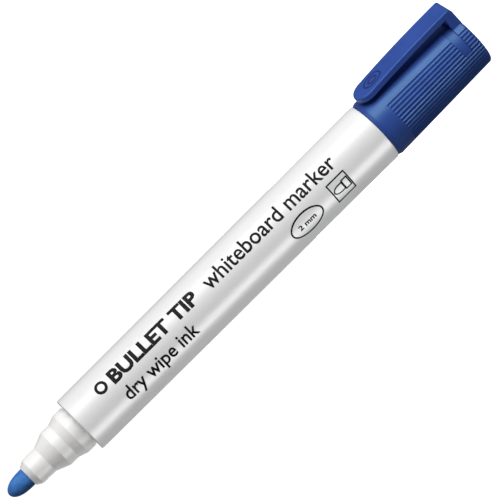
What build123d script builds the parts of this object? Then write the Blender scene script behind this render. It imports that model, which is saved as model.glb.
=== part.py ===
from build123d import *
import math
import os

# A felt tip marker with a bullet nib, its cap pushed onto the rear end. Millimetres, +Z along the axis.
#
# The marker stands on the flat closed end of its cap. The origin is the middle of that face, the nib is at
# the top, and the clip is on the -Y side. Each sub-part is made with the clip on +X, and main turns it
# into place.

# Driving dimensions
CAP_LENGTH = 31.4  # closed end to rim
REAR_GAP = 0.15  # between the cap's rim and the barrel's rear face
BARREL_LENGTH = 96.7
CAP_END_RADIUS = 7.4
CAP_RIM_RADIUS = 8.05
BARREL_REAR_RADIUS = 7.93
BARREL_FRONT_RADIUS = 7.58
NIB_RADIUS = 2.46
NIB_SHOWN = 6.05  # length of nib in front of the nose piece
CLIP_DIRECTION = -90.0  # degrees about Z from +X
FIT_GAP = 0.02  # radial room at a fixed fit
SLIDING_GAP = 0.05  # room between the slot and its lug
SEAL_GAP = 0.01  # radial room at the sealing lip

REAR_Z = CAP_LENGTH + REAR_GAP
FRONT_Z = REAR_Z + BARREL_LENGTH

# Cap shell
CAP_WALL = 1.1
CAP_END_WALL = 1.3
CAP_END_ROUND = 0.8
CAP_LIP_HEIGHT = 1.0  # rounded-off length of the outer lip at the rim
CAP_LIP_INSET = 0.4
CAP_LIP_ROUND = 1.2
RIB_PITCH_DEG = 6.78
RIB_START_DEG = 40.0  # the smooth panel reaches this far each side of the clip
RIB_TOP_Z = 26.5
GROOVE_WIDTH = 0.55
GROOVE_DEPTH = 0.24
GUIDE_COUNT = 6  # inner ribs that grip the nose piece's collar or the plug
GUIDE_WIDTH = 1.0
GUIDE_LOW_Z = 26.9
GUIDE_HIGH_Z = 30.4

# Slot in the cap's wall, and the lug of the inner cap that locks in it
SLOT_LOW_Z = 2.85
SLOT_HIGH_Z = 5.3
SLOT_HALF_DEG = 85.5
SLOT_ROUND = 1.0
LUG_RECESS = 0.28  # how far the lug's face lies below the cap's skin

# Clip
CLIP_HALF_WIDTH = 3.05
CLIP_THICKNESS = 1.7
CLIP_FOOT_LENGTH = 2.85
CLIP_TIP_Z = 30.35
CLIP_ROOT_HEIGHT = 11.88  # outer face from the axis at the closed end
CLIP_TIP_HEIGHT = 10.6  # outer face from the axis at the free end
CLIP_EDGE_ROUND = 0.3
CLIP_EDGE_START_Z = 1.5  # the outer face's edges are rounded from here to the tip
CLIP_ROOT_ROUND = 1.25
CLIP_INNER_ROUND = 0.5  # in the corner between the foot and the arm
CLIP_TIP_SHARE = 1.15  # length of the round free end, as a share of the half width
CLIP_BUMP_RADIUS = 2.2
CLIP_BUMP_GAP = 0.3  # between the grip bump and the cap

# Nose piece, as lengths from the barrel's front face
GROOVE_LENGTH = 0.34
GROOVE_RADIUS = 5.5
COLLAR_RADIUS = 5.88
COLLAR_END = 2.9
SEAL_RADIUS = 5.08
SEAL_START = 5.2
SEAL_END = 7.7
NECK_RADIUS = 3.67
NECK_START = 11.2
NECK_TIP_RADIUS = 3.61
NECK_END = 15.2
NOSE_TIP_RADIUS = 2.72
NOSE_LENGTH = 16.7
INSERT_RADIUS = 6.35
INSERT_LENGTH = 11.0
SKIRT_WALL = 1.1
SKIRT_TOP_DEPTH = 1.5
STEP_WALL = 1.3
BORE_LEAD = 0.8  # the nib's bore starts this far behind the neck
NOSE_STEP_ROUND = 0.18
NOSE_TIP_ROUND = 0.09
AIR_GROOVE_COUNT = 4
AIR_GROOVE_RADIUS = 0.35
AIR_GROOVE_LENGTH = 20.0
AIR_GROOVE_SETBACK = 1.2  # from the nose piece's tip

# Barrel
BARREL_WALL = 1.15
BARREL_EDGE_ROUND = 0.25
CENTRING_RIB_COUNT = 6
CENTRING_RIB_WIDTH = 0.7
CENTRING_RIB_SETBACK = 4.0  # from each end of the reservoir

# Reservoir and nib tail
RESERVOIR_RADIUS = 5.55
WRAP_THICKNESS = 0.15
RESERVOIR_LOW_Z = REAR_Z + 6.2
RESERVOIR_HIGH_Z = FRONT_Z - 12.0
NIB_TAIL_DEPTH = 7.0  # how deep the nib's tail sits in the fibre
NIB_TAIL_RADIUS = 1.2
NIB_TAIL_TAPER = 3.0
POINT_FULLNESS = 0.66  # Bezier handle length of the nib's point; 0.55 would make a quarter ellipse

# End plug
PLUG_INSERT_RADIUS = 6.74
PLUG_INSERT_LENGTH = 6.0
PLUG_FLANGE_RADIUS = 6.85
PLUG_FLANGE_THICKNESS = 0.7
PLUG_COLLAR_RADIUS = 5.83
PLUG_COLLAR_LENGTH = 4.8
PLUG_STUB_RADIUS = 5.02
PLUG_STUB_END_Z = 21.0
PLUG_STUB_ROUND = 0.8
PLUG_CONE_LENGTH = 1.0
PLUG_BORE_LEAD = 0.5
PLUG_WALL = 1.0

# Inner cap
SEAL_LIP_Z = 25.5
SEAL_WALL = 0.6
CUP_RADIUS = 3.85
CUP_FLOOR_Z = 8.2
CUP_FLOOR_THICKNESS = 0.8
CUP_STEP_DROP = 0.4  # below the plug's end
CUP_CONE_LENGTH = 2.0
BASE_RING_WALL = 0.95

OVERSHOOT = 1.0  # how far a cutting tool runs past what it cuts
SLIVER = 1e-3  # the least that a tool runs past a face
SAME_HEIGHT = 1e-4
NEARLY = 0.01  # tolerance when an edge is picked by its length or direction


def cap_radius(z):
    """Outer radius of the cap's tapered wall at height z."""
    return CAP_END_RADIUS + (CAP_RIM_RADIUS - CAP_END_RADIUS) * z / CAP_LENGTH


def barrel_radius(z):
    """Outer radius of the tapered barrel at height z."""
    share = (z - REAR_Z) / BARREL_LENGTH
    return BARREL_REAR_RADIUS + (BARREL_FRONT_RADIUS - BARREL_REAR_RADIUS) * share


def clip_height(z):
    """Distance of the clip's outer face from the axis at height z."""
    return CLIP_ROOT_HEIGHT + (CLIP_TIP_HEIGHT - CLIP_ROOT_HEIGHT) * z / CLIP_TIP_Z


def turned(*outline):
    """The solid turned about Z from a closed outline of (radius, height) points."""
    corners = [(radius, 0, height) for radius, height in outline]
    return revolve(make_face(Polyline(corners, close=True)), Axis.Z)


def circles_at(solid, height):
    """The circular edges of a turned solid at one height."""
    circles = solid.edges().filter_by(GeomType.CIRCLE)
    return circles.filter_by(lambda edge: abs(edge.center().Z - height) < SAME_HEIGHT)


def outer_circle(solid, height):
    """The largest circular edge of a turned solid at one height."""
    return circles_at(solid, height).sort_by(lambda edge: edge.radius)[-1]


def sector(inner, outer, low_z, high_z, half_angle):
    """A ring segment about Z, centred on +X."""
    ring = turned((inner, low_z), (outer, low_z), (outer, high_z), (inner, high_z))
    reach = 3 * outer
    corners = [(0, 0)]
    steps = 4
    for step in range(steps + 1):
        angle = math.radians(-half_angle + 2 * half_angle * step / steps)
        corners.append((reach * math.cos(angle), reach * math.sin(angle)))
    wedge = extrude(make_face(Polyline(corners, close=True)), amount=high_z + OVERSHOOT)
    return ring & wedge


def make_barrel():
    """Open tapered tube with seats for the nose piece and the plug, and centring ribs."""
    body = turned(
        (BARREL_REAR_RADIUS - BARREL_WALL, REAR_Z),
        (BARREL_REAR_RADIUS, REAR_Z),
        (BARREL_FRONT_RADIUS, FRONT_Z),
        (BARREL_FRONT_RADIUS - BARREL_WALL, FRONT_Z),
    )
    body = fillet([outer_circle(body, REAR_Z), outer_circle(body, FRONT_Z)], BARREL_EDGE_ROUND)
    rib_inner = RESERVOIR_RADIUS + WRAP_THICKNESS + FIT_GAP
    rib_outer = barrel_radius(FRONT_Z) - BARREL_WALL / 2
    rib_low = RESERVOIR_LOW_Z + CENTRING_RIB_SETBACK
    rib_high = RESERVOIR_HIGH_Z - CENTRING_RIB_SETBACK
    rib = Pos((rib_inner + rib_outer) / 2, 0, (rib_low + rib_high) / 2) * Box(
        rib_outer - rib_inner, CENTRING_RIB_WIDTH, rib_high - rib_low
    )
    for index in range(CENTRING_RIB_COUNT):
        body += Rot(0, 0, 360 * index / CENTRING_RIB_COUNT) * rib
    nose_seat = Pos(0, 0, FRONT_Z - INSERT_LENGTH / 2) * Cylinder(INSERT_RADIUS + FIT_GAP, INSERT_LENGTH)
    return body - nose_seat


def make_nib_holder():
    """Stepped nose piece: insert, collar for the cap, sealing land, neck and a bore with air grooves."""
    bore = NIB_RADIUS + FIT_GAP
    skirt = INSERT_RADIUS - SKIRT_WALL
    tip_z = FRONT_Z + NOSE_LENGTH
    outline = [
        (bore, tip_z),
        (NOSE_TIP_RADIUS, tip_z),
        (NECK_TIP_RADIUS, FRONT_Z + NECK_END),
        (NECK_RADIUS, FRONT_Z + NECK_START),
        (SEAL_RADIUS, FRONT_Z + SEAL_END),
        (SEAL_RADIUS, FRONT_Z + SEAL_START),
        (COLLAR_RADIUS, FRONT_Z + COLLAR_END),
        (COLLAR_RADIUS, FRONT_Z + GROOVE_LENGTH),
        (GROOVE_RADIUS, FRONT_Z + GROOVE_LENGTH),
        (GROOVE_RADIUS, FRONT_Z),
        (INSERT_RADIUS, FRONT_Z),
        (INSERT_RADIUS, FRONT_Z - INSERT_LENGTH),
        (skirt, FRONT_Z - INSERT_LENGTH),
        (skirt, FRONT_Z - SKIRT_TOP_DEPTH),
        (COLLAR_RADIUS - STEP_WALL, FRONT_Z + COLLAR_END),
        (SEAL_RADIUS - STEP_WALL, FRONT_Z + SEAL_END),
        (bore, FRONT_Z + NECK_START - BORE_LEAD),
    ]
    body = turned(*outline)
    soft_edges = [
        outer_circle(body, FRONT_Z + height)
        for height in (NECK_END, NECK_START, SEAL_END, SEAL_START, COLLAR_END)
    ]
    body = fillet(soft_edges, NOSE_STEP_ROUND)
    body = fillet(outer_circle(body, tip_z), NOSE_TIP_ROUND)
    air_groove = Pos(bore, 0, FRONT_Z + NECK_END) * Cylinder(AIR_GROOVE_RADIUS, 2 * NECK_END)
    groove_middle = tip_z - AIR_GROOVE_SETBACK - AIR_GROOVE_LENGTH / 2
    trim = Pos(0, 0, groove_middle) * Cylinder(2 * NIB_RADIUS, AIR_GROOVE_LENGTH)
    for index in range(AIR_GROOVE_COUNT):
        body -= (Rot(0, 0, 360 * (index + 0.5) / AIR_GROOVE_COUNT) * air_groove) & trim
    return body


def make_nib():
    """Bullet nib: a full round point, a straight rod and a tapered tail that sits in the fibre."""
    base_z = FRONT_Z + NOSE_LENGTH
    tip_z = base_z + NIB_SHOWN
    tail_z = RESERVOIR_HIGH_Z - NIB_TAIL_DEPTH
    point = Bezier(
        (NIB_RADIUS, base_z),
        (NIB_RADIUS, base_z + POINT_FULLNESS * NIB_SHOWN),
        (POINT_FULLNESS * NIB_RADIUS, tip_z),
        (0, tip_z),
    )
    rod = Polyline(
        (0, tip_z),
        (0, tail_z),
        (NIB_TAIL_RADIUS, tail_z),
        (NIB_RADIUS, tail_z + NIB_TAIL_TAPER),
        (NIB_RADIUS, base_z),
    )
    face = make_face([*point.edges(), *rod.edges()])
    return revolve(Plane.XZ * face, Axis.Z)


def make_ink_reservoir():
    """Fibre rod with the hollow that the nib's tail presses into it."""
    rod = turned(
        (0, RESERVOIR_LOW_Z),
        (RESERVOIR_RADIUS, RESERVOIR_LOW_Z),
        (RESERVOIR_RADIUS, RESERVOIR_HIGH_Z),
        (0, RESERVOIR_HIGH_Z),
    )
    tail_z = RESERVOIR_HIGH_Z - NIB_TAIL_DEPTH
    socket = turned(
        (0, tail_z - FIT_GAP),
        (NIB_TAIL_RADIUS + FIT_GAP, tail_z - FIT_GAP),
        (NIB_RADIUS + FIT_GAP, tail_z + NIB_TAIL_TAPER - FIT_GAP),
        (NIB_RADIUS + FIT_GAP, RESERVOIR_HIGH_Z + OVERSHOOT),
        (0, RESERVOIR_HIGH_Z + OVERSHOOT),
    )
    return rod - socket


def make_reservoir_wrap():
    """Film tube round the fibre rod."""
    inner = RESERVOIR_RADIUS
    outer = RESERVOIR_RADIUS + WRAP_THICKNESS
    return turned(
        (inner, RESERVOIR_LOW_Z),
        (outer, RESERVOIR_LOW_Z),
        (outer, RESERVOIR_HIGH_Z),
        (inner, RESERVOIR_HIGH_Z),
    )


def make_end_plug():
    """Hollow plug: an insert in the barrel, a thin flange on its end and a stepped stub for the cap."""
    insert_z = REAR_Z + PLUG_INSERT_LENGTH
    flange_z = REAR_Z - PLUG_FLANGE_THICKNESS
    step_z = REAR_Z - PLUG_COLLAR_LENGTH
    cone_z = step_z - PLUG_CONE_LENGTH
    insert_bore = PLUG_INSERT_RADIUS - PLUG_WALL
    stub_bore = PLUG_STUB_RADIUS - PLUG_WALL
    body = turned(
        (0, PLUG_STUB_END_Z),
        (PLUG_STUB_RADIUS, PLUG_STUB_END_Z),
        (PLUG_STUB_RADIUS, cone_z),
        (PLUG_COLLAR_RADIUS, step_z),
        (PLUG_COLLAR_RADIUS, flange_z),
        (PLUG_FLANGE_RADIUS, flange_z),
        (PLUG_FLANGE_RADIUS, REAR_Z),
        (PLUG_INSERT_RADIUS, REAR_Z),
        (PLUG_INSERT_RADIUS, insert_z),
        (insert_bore, insert_z),
        (insert_bore, REAR_Z + PLUG_BORE_LEAD),
        (stub_bore, step_z),
        (stub_bore, PLUG_STUB_END_Z + PLUG_WALL),
        (0, PLUG_STUB_END_Z + PLUG_WALL),
    )
    return fillet(outer_circle(body, PLUG_STUB_END_Z), PLUG_STUB_ROUND)


def make_cap_shell():
    """Outer cap: tapered cup with grip grooves, a rounded lip, inner guide ribs and the slot for the lug."""
    outside = turned(
        (0, 0),
        (CAP_END_RADIUS, 0),
        (cap_radius(CAP_LENGTH - CAP_LIP_HEIGHT), CAP_LENGTH - CAP_LIP_HEIGHT),
        (CAP_RIM_RADIUS - CAP_LIP_INSET, CAP_LENGTH),
        (0, CAP_LENGTH),
    )
    outside = fillet(outer_circle(outside, CAP_LENGTH - CAP_LIP_HEIGHT), CAP_LIP_ROUND)
    outside = fillet(outer_circle(outside, 0), CAP_END_ROUND)
    outside -= groove_tools()
    inside = turned(
        (0, CAP_END_WALL),
        (cap_radius(0) - CAP_WALL, CAP_END_WALL),
        (cap_radius(CAP_LENGTH) - CAP_WALL, CAP_LENGTH + SLIVER),
        (0, CAP_LENGTH + SLIVER),
    )
    shell = outside - inside
    guide_inner = COLLAR_RADIUS
    guide_outer = cap_radius(GUIDE_LOW_Z) - CAP_WALL / 2
    guide = Pos((guide_inner + guide_outer) / 2, 0, (GUIDE_LOW_Z + GUIDE_HIGH_Z) / 2) * Box(
        guide_outer - guide_inner, GUIDE_WIDTH, GUIDE_HIGH_Z - GUIDE_LOW_Z
    )
    core = Cylinder(guide_inner, 4 * CAP_LENGTH)
    for index in range(GUIDE_COUNT):
        shell += (Rot(0, 0, 360 * (index + 0.5) / GUIDE_COUNT) * guide) - core
    return shell - slot_segment(CAP_END_RADIUS / 2, CAP_RIM_RADIUS + OVERSHOOT, 0)


def groove_tools():
    """One cutting tool for each grip groove, laid along the cap's tapered wall."""
    slope = math.degrees(math.atan2(CAP_RIM_RADIUS - CAP_END_RADIUS, CAP_LENGTH))
    length = RIB_TOP_Z + OVERSHOOT
    tool = Pos(0, 0, RIB_TOP_Z - length / 2) * Box(2 * GROOVE_DEPTH, GROOVE_WIDTH, length)
    tool = chamfer(tool.edges().filter_by(Axis.Z), GROOVE_WIDTH / 4)
    laid = Pos(cap_radius(0), 0, 0) * Rot(0, slope, 0) * tool
    count = int((360 - 2 * RIB_START_DEG) / RIB_PITCH_DEG) + 1
    first = 180 - RIB_PITCH_DEG * (count - 1) / 2
    return [Rot(0, 0, first + RIB_PITCH_DEG * index) * laid for index in range(count)]


def slot_segment(inner, outer, room):
    """The slot's shape as a ring segment with rounded ends, smaller all round by room."""
    arc_room = math.degrees(room / CAP_END_RADIUS)
    segment = sector(inner, outer, SLOT_LOW_Z + room, SLOT_HIGH_Z - room, SLOT_HALF_DEG - arc_room)
    lines = segment.edges().filter_by(GeomType.LINE)
    level = lines.filter_by(lambda edge: abs(edge.tangent_at(0).Z) < NEARLY)
    ends = level.filter_by(lambda edge: edge.length > outer - inner - NEARLY)
    return fillet(ends, SLOT_ROUND)


def make_inner_cap():
    """Seal cup for the nib on a base ring, with the lug that locks in the cap shell's slot."""
    base_low = CAP_END_WALL + FIT_GAP
    base_radius = CAP_END_RADIUS - CAP_WALL - FIT_GAP
    floor_low = CUP_FLOOR_Z - CUP_FLOOR_THICKNESS
    lip_radius = SEAL_RADIUS + SEAL_GAP
    cup_step_z = PLUG_STUB_END_Z - CUP_STEP_DROP
    cup_cone_z = cup_step_z - CUP_CONE_LENGTH
    body = turned(
        (base_radius - BASE_RING_WALL, base_low),
        (base_radius, base_low),
        (base_radius, CUP_FLOOR_Z),
        (CUP_RADIUS + SEAL_WALL, CUP_FLOOR_Z),
        (CUP_RADIUS + SEAL_WALL, cup_cone_z),
        (lip_radius + SEAL_WALL, cup_step_z),
        (lip_radius + SEAL_WALL, SEAL_LIP_Z),
        (lip_radius, SEAL_LIP_Z),
        (lip_radius, cup_step_z),
        (CUP_RADIUS, cup_cone_z),
        (CUP_RADIUS, CUP_FLOOR_Z),
        (0, CUP_FLOOR_Z),
        (0, floor_low),
        (base_radius - BASE_RING_WALL, floor_low),
    )
    segment = slot_segment(base_radius - BASE_RING_WALL / 2, CAP_RIM_RADIUS + OVERSHOOT, SLIDING_GAP)
    skin = turned(
        (0, 0),
        (cap_radius(0) - LUG_RECESS, 0),
        (cap_radius(CAP_LENGTH) - LUG_RECESS, CAP_LENGTH),
        (0, CAP_LENGTH),
    )
    return body + (segment & skin)


def make_pocket_clip():
    """Springy clip: a foot on the cap's closed end and a flat arm with a round free end and a grip bump."""
    arm_top = [(clip_height(0), 0, 0), (clip_height(CLIP_TIP_Z), 0, CLIP_TIP_Z)]
    arm_under = [
        (clip_height(CLIP_TIP_Z) - CLIP_THICKNESS, 0, CLIP_TIP_Z),
        (clip_height(CLIP_FOOT_LENGTH) - CLIP_THICKNESS, 0, CLIP_FOOT_LENGTH),
    ]
    foot_depth = math.sqrt((CAP_END_RADIUS - CAP_END_ROUND) ** 2 - CLIP_HALF_WIDTH**2)
    foot = [(foot_depth, 0, CLIP_FOOT_LENGTH), (foot_depth, 0, 0)]
    side = make_face(Polyline(arm_top + arm_under + foot, close=True))
    clip = extrude(side, amount=CLIP_HALF_WIDTH, both=True)
    clip = clip & plan_outline()
    clip = fillet(crosswise_edge(clip, arm_under[1]), CLIP_INNER_ROUND)
    clip = fillet(crosswise_edge(clip, arm_top[0]), CLIP_ROOT_ROUND)
    top_face = clip.faces().filter_by(GeomType.PLANE).sort_by(lambda face: face.center().X)[-1]
    soft_edges = top_face.edges().filter_by(lambda edge: edge.center().Z > CLIP_EDGE_START_Z)
    clip = fillet(soft_edges, CLIP_EDGE_ROUND)
    bump_z = CLIP_TIP_Z - CLIP_HALF_WIDTH
    bump_height = clip_height(bump_z) - CLIP_THICKNESS
    ball_x = cap_radius(bump_z) + CLIP_BUMP_GAP + CLIP_BUMP_RADIUS
    ball = Pos(ball_x, 0, bump_z) * Sphere(CLIP_BUMP_RADIUS)
    block = 4 * CLIP_BUMP_RADIUS
    under = Pos(bump_height + CLIP_THICKNESS / 2 - block / 2, 0, bump_z) * Box(block, block, block)
    clip += ball & under
    return clip - cap_envelope()


def crosswise_edge(solid, point):
    """The edge along Y whose middle is nearest to a point."""
    return solid.edges().filter_by(Axis.Y).sort_by(lambda edge: (edge.center() - Vector(*point)).length)[0]


def plan_outline():
    """The clip seen from outside, as a tool: straight sides and a round free end."""
    narrow = CLIP_TIP_Z - CLIP_HALF_WIDTH * CLIP_TIP_SHARE
    half = CLIP_HALF_WIDTH
    outline = Polyline((-half, narrow), (-half, 0), (half, 0), (half, narrow))
    tip = EllipticalCenterArc((0, narrow), half, CLIP_TIP_Z - narrow, start_angle=0, arc_size=180)
    face = Plane.YZ * make_face([*outline.edges(), *tip.edges()])
    return extrude(face, amount=3 * CAP_RIM_RADIUS)


def cap_envelope():
    """The cap's outside as if it had no grooves or slot."""
    body = turned((0, 0), (CAP_END_RADIUS, 0), (CAP_RIM_RADIUS, CAP_LENGTH), (0, CAP_LENGTH))
    return fillet(outer_circle(body, 0), CAP_END_ROUND)


def main():
    os.makedirs("parts", exist_ok=True)
    makers = {
        "barrel": make_barrel,
        "nib_holder": make_nib_holder,
        "nib": make_nib,
        "ink_reservoir": make_ink_reservoir,
        "reservoir_wrap": make_reservoir_wrap,
        "end_plug": make_end_plug,
        "cap_shell": make_cap_shell,
        "inner_cap": make_inner_cap,
        "pocket_clip": make_pocket_clip,
    }
    for node, make in makers.items():
        export_step(Rot(0, 0, CLIP_DIRECTION) * make(), f"parts/{node}.step")
        print("wrote", node)


main()
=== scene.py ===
import math
import bmesh
import bpy
from mathutils import Matrix, Vector


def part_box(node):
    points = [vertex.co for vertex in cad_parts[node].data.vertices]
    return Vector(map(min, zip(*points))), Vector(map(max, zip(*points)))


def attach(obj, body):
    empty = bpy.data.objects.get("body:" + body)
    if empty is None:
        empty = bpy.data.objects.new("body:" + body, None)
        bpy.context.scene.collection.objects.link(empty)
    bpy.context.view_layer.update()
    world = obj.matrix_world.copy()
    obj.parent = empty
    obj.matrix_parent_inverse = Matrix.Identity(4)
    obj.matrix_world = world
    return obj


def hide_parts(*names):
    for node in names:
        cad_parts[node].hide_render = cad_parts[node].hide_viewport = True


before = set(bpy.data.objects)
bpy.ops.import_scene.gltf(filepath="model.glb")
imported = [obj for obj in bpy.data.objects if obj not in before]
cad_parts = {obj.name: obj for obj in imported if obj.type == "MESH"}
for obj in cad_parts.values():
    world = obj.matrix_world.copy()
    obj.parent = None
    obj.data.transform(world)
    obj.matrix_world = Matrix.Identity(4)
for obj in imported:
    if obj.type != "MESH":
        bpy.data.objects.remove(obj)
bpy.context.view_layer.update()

mm = 0.001
scene = bpy.context.scene

# heights along the axis that every piece shares, read from the frame
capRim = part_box("cap_shell")[1].z / mm
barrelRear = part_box("barrel")[0].z / mm
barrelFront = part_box("barrel")[1].z / mm
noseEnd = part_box("nib_holder")[1].z / mm
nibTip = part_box("nib")[1].z / mm

barrel = {
    "rearRadius": 7.93, "frontRadius": 7.58, "wall": 1.15, "edgeRound": 0.25,
    "boreRearRound": 0.15, "boreFrontRound": 0.08,
}
cap = {
    "length": capRim, "endRadius": 7.4, "rimRadius": 8.05, "wall": 1.1, "endWall": 1.3, "endRound": 0.8,
    "lipHeight": 1.0, "lipInset": 0.4, "lipRound": 1.2, "rimRound": 0.12, "facing": -90.0,
}
print("frame loaded, axis heights in mm:", round(capRim, 2), round(barrelFront, 2), round(nibTip, 2))


def putInScene(name, mesh):
    obj = bpy.data.objects.new(name, mesh)
    scene.collection.objects.link(obj)
    return obj


def easedOutline(corners, segments=5, shoulder=0.12):
    # corners are (radius, height, rounding)
    # each rounded corner becomes an arc with a support point on each side
    count = len(corners)
    outline = []
    for index, corner in enumerate(corners):
        here = Vector(corner[:2])
        rounding = corner[2] if len(corner) > 2 else 0
        if not rounding:
            outline.append(tuple(here))
            continue
        before = (Vector(corners[index - 1][:2]) - here).normalized()
        after = (Vector(corners[(index + 1) % count][:2]) - here).normalized()
        half = before.angle(after) / 2
        run = rounding / math.tan(half)
        centre = here + (before + after).normalized() * (rounding / math.sin(half))
        start, end = here + before * run, here + after * run
        outline.append(tuple(start + before * min(shoulder, rounding / 2)))
        turn = (start - centre).angle_signed(end - centre)
        for step in range(segments + 1):
            arm = (start - centre).copy()
            arm.rotate(Matrix.Rotation(-turn * step / segments, 2))
            outline.append(tuple(centre + arm))
        outline.append(tuple(end + after * min(shoulder, rounding / 2)))
    return outline


def spun(name, outline, steps=128, angles=None, closed=True, marks=None):
    # turns a (radius, height) outline in mm about Z; radius 0 becomes one pole vertex
    turns = angles or [2 * math.pi * step / steps for step in range(steps)]
    work = bmesh.new()
    layer = work.verts.layers.float.new("ribbed") if marks else None
    rings = []
    for row, (radius, height) in enumerate(outline):
        if radius < 1e-6:
            ring = [work.verts.new((0, 0, height * mm))] * len(turns)
        else:
            ring = [
                work.verts.new((radius * mm * math.cos(turn), radius * mm * math.sin(turn), height * mm))
                for turn in turns
            ]
        if layer:
            for vert in set(ring):
                vert[layer] = marks[row]
        rings.append(ring)
    last = len(rings) if closed else len(rings) - 1
    for row in range(last):
        lower, upper = rings[row], rings[(row + 1) % len(rings)]
        for step in range(len(turns)):
            after = (step + 1) % len(turns)
            loop = []
            for vert in (lower[step], lower[after], upper[after], upper[step]):
                if vert not in loop:
                    loop.append(vert)
            if len(loop) > 2:
                work.faces.new(loop)
    bmesh.ops.recalc_face_normals(work, faces=work.faces)
    mesh = bpy.data.meshes.new(name)
    work.to_mesh(mesh)
    work.free()
    return softened(putInScene(name, mesh))


def softened(obj, sharpAbove=34):
    obj.data.shade_smooth()
    obj.data.set_sharp_from_angle(angle=math.radians(sharpAbove))
    return obj


def baked(obj):
    # replaces the live modifiers by the plain mesh that they give
    graph = bpy.context.evaluated_depsgraph_get()
    mesh = bpy.data.meshes.new_from_object(obj.evaluated_get(graph))
    obj.modifiers.clear()
    old = obj.data
    obj.data = mesh
    mesh.name = obj.name
    bpy.data.meshes.remove(old)
    return obj


def finished(obj, material, body, slot, *nodes):
    obj.data.materials.clear()
    obj.data.materials.append(material)
    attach(obj, body)
    if nodes:
        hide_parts(*nodes)
    return obj


shading = {
    "tintSpread": (0.35, 0.65), "noiseSpread": (0.3, 0.7), "ior": 1.49, "grainHeight": 0.00002,
    "fibreHeight": 0.00006, "fibreShare": 0.6, "patchShare": 0.4, "sheenRoughness": 0.6,
}


def newFinish(name):
    material = bpy.data.materials.new(name)
    material.use_nodes = True
    nodes = material.node_tree.nodes
    return material, nodes, material.node_tree.links, nodes["Principled BSDF"]


def noiseOn(nodes, links, scale, detail=3.0, rough=0.5, stretch=(1, 1, 1)):
    place = nodes.new("ShaderNodeTexCoord")
    mapping = nodes.new("ShaderNodeMapping")
    mapping.inputs["Scale"].default_value = stretch
    noise = nodes.new("ShaderNodeTexNoise")
    noise.inputs["Scale"].default_value = scale
    noise.inputs["Detail"].default_value = detail
    noise.inputs["Roughness"].default_value = rough
    links.new(place.outputs["Object"], mapping.inputs["Vector"])
    links.new(mapping.outputs["Vector"], noise.inputs["Vector"])
    return noise


def tintBetween(nodes, links, factor, low, high):
    ramp = nodes.new("ShaderNodeValToRGB")
    for stop, place, tint in zip(ramp.color_ramp.elements, shading["tintSpread"], (low, high)):
        stop.position, stop.color = place, (*tint, 1)
    links.new(factor, ramp.inputs["Fac"])
    return ramp.outputs["Color"]


def rangeBetween(nodes, links, factor, low, high):
    spread = nodes.new("ShaderNodeMapRange")
    spread.inputs["From Min"].default_value, spread.inputs["From Max"].default_value = shading["noiseSpread"]
    spread.inputs["To Min"].default_value = low
    spread.inputs["To Max"].default_value = high
    links.new(factor, spread.inputs["Value"])
    return spread.outputs["Result"]


def bumpFrom(nodes, links, shader, heights, strength, distance):
    bump = nodes.new("ShaderNodeBump")
    bump.inputs["Strength"].default_value = strength
    bump.inputs["Distance"].default_value = distance
    links.new(heights, bump.inputs["Height"])
    links.new(bump.outputs["Normal"], shader.inputs["Normal"])


def mouldedPlastic(name, look):
    material, nodes, links, shader = newFinish(name)
    cloud = noiseOn(nodes, links, look["cloudScale"], 2.0, 0.5, look.get("cloudStretch", (1, 1, 1)))
    grain = noiseOn(nodes, links, look["grainScale"], 2.0, 0.6)
    tint = tintBetween(nodes, links, cloud.outputs["Fac"], look["shade"], look["light"])
    dullness = rangeBetween(nodes, links, grain.outputs["Fac"], *look["roughness"])
    links.new(tint, shader.inputs["Base Color"])
    links.new(dullness, shader.inputs["Roughness"])
    bumpFrom(nodes, links, shader, grain.outputs["Fac"], look["grainDepth"], shading["grainHeight"])
    shader.inputs["Specular IOR Level"].default_value = look["specular"]
    shader.inputs["IOR"].default_value = shading["ior"]
    if "sparkle" in look:  # the highlight's tint
        shader.inputs["Specular Tint"].default_value = (*look["sparkle"], 1)
    if "coat" in look:
        shader.inputs["Coat Weight"].default_value = look["coat"]
        shader.inputs["Coat Roughness"].default_value = look["coatRoughness"]
    if "glow" in look:  # light that passes a little way through the plastic
        shader.inputs["Subsurface Weight"].default_value = look["glow"]
        shader.inputs["Subsurface Radius"].default_value = look["glowRadius"]
        shader.inputs["Subsurface Scale"].default_value = look["glowScale"]
    return material


def stainedFelt(name, look):
    material, nodes, links, shader = newFinish(name)
    fibres = noiseOn(nodes, links, look["fibreScale"], 4.0, 0.7, look["fibreStretch"])
    patches = noiseOn(nodes, links, look["patchScale"], 2.0, 0.5)
    mixed = nodes.new("ShaderNodeMath")
    mixed.operation = "MULTIPLY_ADD"
    mixed.inputs[1].default_value = shading["fibreShare"]
    mixed.use_clamp = True
    faint = nodes.new("ShaderNodeMath")
    faint.operation = "MULTIPLY"
    faint.inputs[1].default_value = shading["patchShare"]
    links.new(patches.outputs["Fac"], faint.inputs[0])
    links.new(fibres.outputs["Fac"], mixed.inputs[0])
    links.new(faint.outputs["Value"], mixed.inputs[2])
    tint = tintBetween(nodes, links, mixed.outputs["Value"], look["shade"], look["light"])
    dullness = rangeBetween(nodes, links, fibres.outputs["Fac"], *look["roughness"])
    links.new(tint, shader.inputs["Base Color"])
    links.new(dullness, shader.inputs["Roughness"])
    bumpFrom(nodes, links, shader, fibres.outputs["Fac"], look["fibreDepth"], shading["fibreHeight"])
    shader.inputs["Sheen Weight"].default_value = look["sheen"]
    shader.inputs["Sheen Roughness"].default_value = shading["sheenRoughness"]
    shader.inputs["Sheen Tint"].default_value = (*look["light"], 1)
    shader.inputs["Specular IOR Level"].default_value = look["specular"]
    return material


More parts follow.
